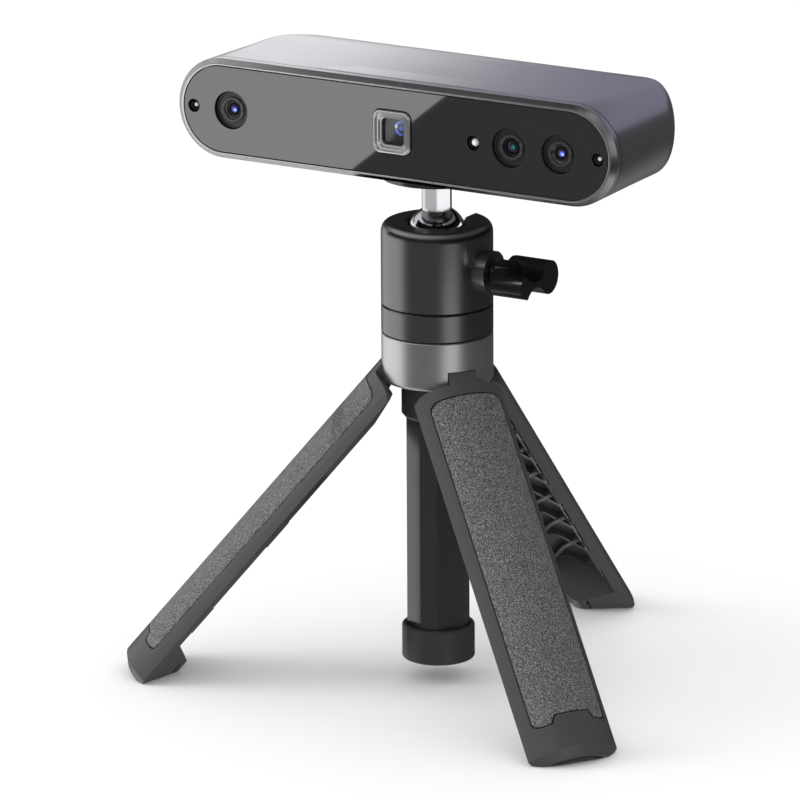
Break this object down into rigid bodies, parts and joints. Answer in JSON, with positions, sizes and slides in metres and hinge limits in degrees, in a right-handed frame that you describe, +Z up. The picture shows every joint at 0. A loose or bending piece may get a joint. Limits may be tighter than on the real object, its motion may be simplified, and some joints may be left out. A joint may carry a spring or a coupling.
{
  "type": "three-d scanner",
  "caption": "Hand-held structured-light scanner with a stadium-shaped glass front, on a small ball head and a folding mini tripod with a telescopic mast.",
  "frame": {"origin": "on the ground, under the middle of the whole object's footprint", "axes": "+Z up, the scanner looks along -Y, +X to the right of someone who faces its back"},
  "size_m": [0.1728, 0.1584, 0.1935],
  "materials": {
    "head_grey": "fine satin, cool grey",
    "bright_rim": "polished",
    "front_glass": "glossy, near black",
    "lens_glass": "polished, blue coating",
    "green_lens": "polished, green coating",
    "optics_black": "black satin",
    "step_grey": "satin",
    "light_white": "smooth, milky",
    "black_plastic": "fine matt",
    "charcoal_plastic": "fine matt",
    "grip_rubber": "grainy",
    "foot_rubber": "plain",
    "satin_black_metal": "satin black",
    "gloss_black": "glossy",
    "tube_black": "glossy black",
    "silver_metal": "satin",
    "chrome": "polished",
    "steel": "fine turned",
    "brass": "turned",
    "board_green": "solder mask"
  },
  "bodies": {
    "tripod_base": {"collar": "silver_metal", "mast_sleeve": "black_plastic", "mast_outer_tube": "tube_black", "mast_end_cap": "black_plastic", "hinge_pin_1": "steel", "hinge_pin_2": "steel", "hinge_pin_3": "steel"},
    "middle_tube": {"mast_middle_tube": "steel"},
    "ball_head_base": {"ball_head_housing": "satin_black_metal", "base_ring": "satin_black_metal", "mast_inner_rod": "steel"},
    "clamp_knob_body": {"clamp_knob": "gloss_black", "clamp_screw": "satin_black_metal", "clamp_shoe": "brass"},
    "ball_cup_body": {"ball_cup": "black_plastic"},
    "ball_body": {"ball_stud": "chrome", "platform_disc": "satin_black_metal"},
    "scanner_head": {"head_casing": "head_grey", "front_bezel": "bright_rim", "front_glass": "front_glass", "back_cover": "black_plastic", "optical_bench": "silver_metal", "left_camera_barrel": "optics_black", "left_camera_lens": "lens_glass", "right_camera_barrel": "optics_black", "right_camera_lens": "lens_glass", "colour_camera_barrel": "optics_black", "colour_camera_lens": "green_lens", "projector_bezel": "step_grey", "projector_window": "lens_glass", "projector_engine": "optics_black", "projector_lens": "lens_glass", "flash_light": "light_white", "left_end_light": "light_white", "right_end_light": "light_white", "main_board": "board_green", "heat_spreader": "silver_metal", "usb_socket": "steel", "status_light": "light_white", "tripod_insert": "brass", "head_pad": "foot_rubber", "cover_screw_1": "steel", "cover_screw_2": "steel", "cover_screw_3": "steel", "cover_screw_4": "steel"},
    "scan_button_body": {"scan_button": "black_plastic"},
    "minus_button_body": {"minus_button": "black_plastic"},
    "plus_button_body": {"plus_button": "black_plastic"},
    "leg_1": {"leg_shell_1": "charcoal_plastic", "leg_grip_1": "grip_rubber", "foot_pad_1": "foot_rubber"},
    "leg_2": {"leg_shell_2": "charcoal_plastic", "leg_grip_2": "grip_rubber", "foot_pad_2": "foot_rubber"},
    "leg_3": {"leg_shell_3": "charcoal_plastic", "leg_grip_3": "grip_rubber", "foot_pad_3": "foot_rubber"}
  },
  "joints": [
    {"name": "lower_mast_slide", "type": "slide", "parent": "tripod_base", "child": "middle_tube", "axis": [0, 0, 1], "range_m": [0, 0.055]},
    {"name": "upper_mast_slide", "type": "slide", "parent": "middle_tube", "child": "ball_head_base", "axis": [0, 0, 1], "range_m": [0, 0.055]},
    {"name": "knob_turn", "type": "hinge", "parent": "ball_head_base", "child": "clamp_knob_body", "pos_m": [0.00226, -0.01718, 0.1312], "axis": [1, 0, 0], "range_deg": [0, 360]},
    {"name": "ball_pan", "type": "hinge", "parent": "ball_head_base", "child": "ball_cup_body", "pos_m": [0.00226, -0.01718, 0.1408], "axis": [0, 0, 1], "continuous": true},
    {"name": "ball_tilt", "type": "hinge", "parent": "ball_cup_body", "child": "ball_body", "pos_m": [0.00226, -0.01718, 0.1408], "axis": [1, 0, 0], "range_deg": [-35, 35]},
    {"name": "head_spin", "type": "hinge", "parent": "ball_body", "child": "scanner_head", "pos_m": [0.00226, -0.01718, 0.165], "axis": [0, 0, 1], "continuous": true},
    {"name": "scan_button_press", "type": "slide", "parent": "scanner_head", "child": "scan_button_body", "axis": [0, -1, 0], "range_m": [0, 0.0006], "stiffness_N_per_m": 500},
    {"name": "minus_button_press", "type": "slide", "parent": "scanner_head", "child": "minus_button_body", "axis": [0, -1, 0], "range_m": [0, 0.0006], "stiffness_N_per_m": 500},
    {"name": "plus_button_press", "type": "slide", "parent": "scanner_head", "child": "plus_button_body", "axis": [0, -1, 0], "range_m": [0, 0.0006], "stiffness_N_per_m": 500},
    {"name": "leg_1_fold", "type": "hinge", "parent": "tripod_base", "child": "leg_1", "pos_m": [0.00298, -0.0052, 0.09927], "axis": [-0.9982, 0.0598, 0], "range_deg": [0, 40]},
    {"name": "leg_2_fold", "type": "hinge", "parent": "tripod_base", "child": "leg_2", "pos_m": [-0.00847, -0.02254, 0.09927], "axis": [0.4473, -0.8944, 0], "range_deg": [0, 40]},
    {"name": "leg_3_fold", "type": "hinge", "parent": "tripod_base", "child": "leg_3", "pos_m": [0.01227, -0.02379, 0.09927], "axis": [0.5509, 0.8346, 0], "range_deg": [0, 40]}
  ]
}
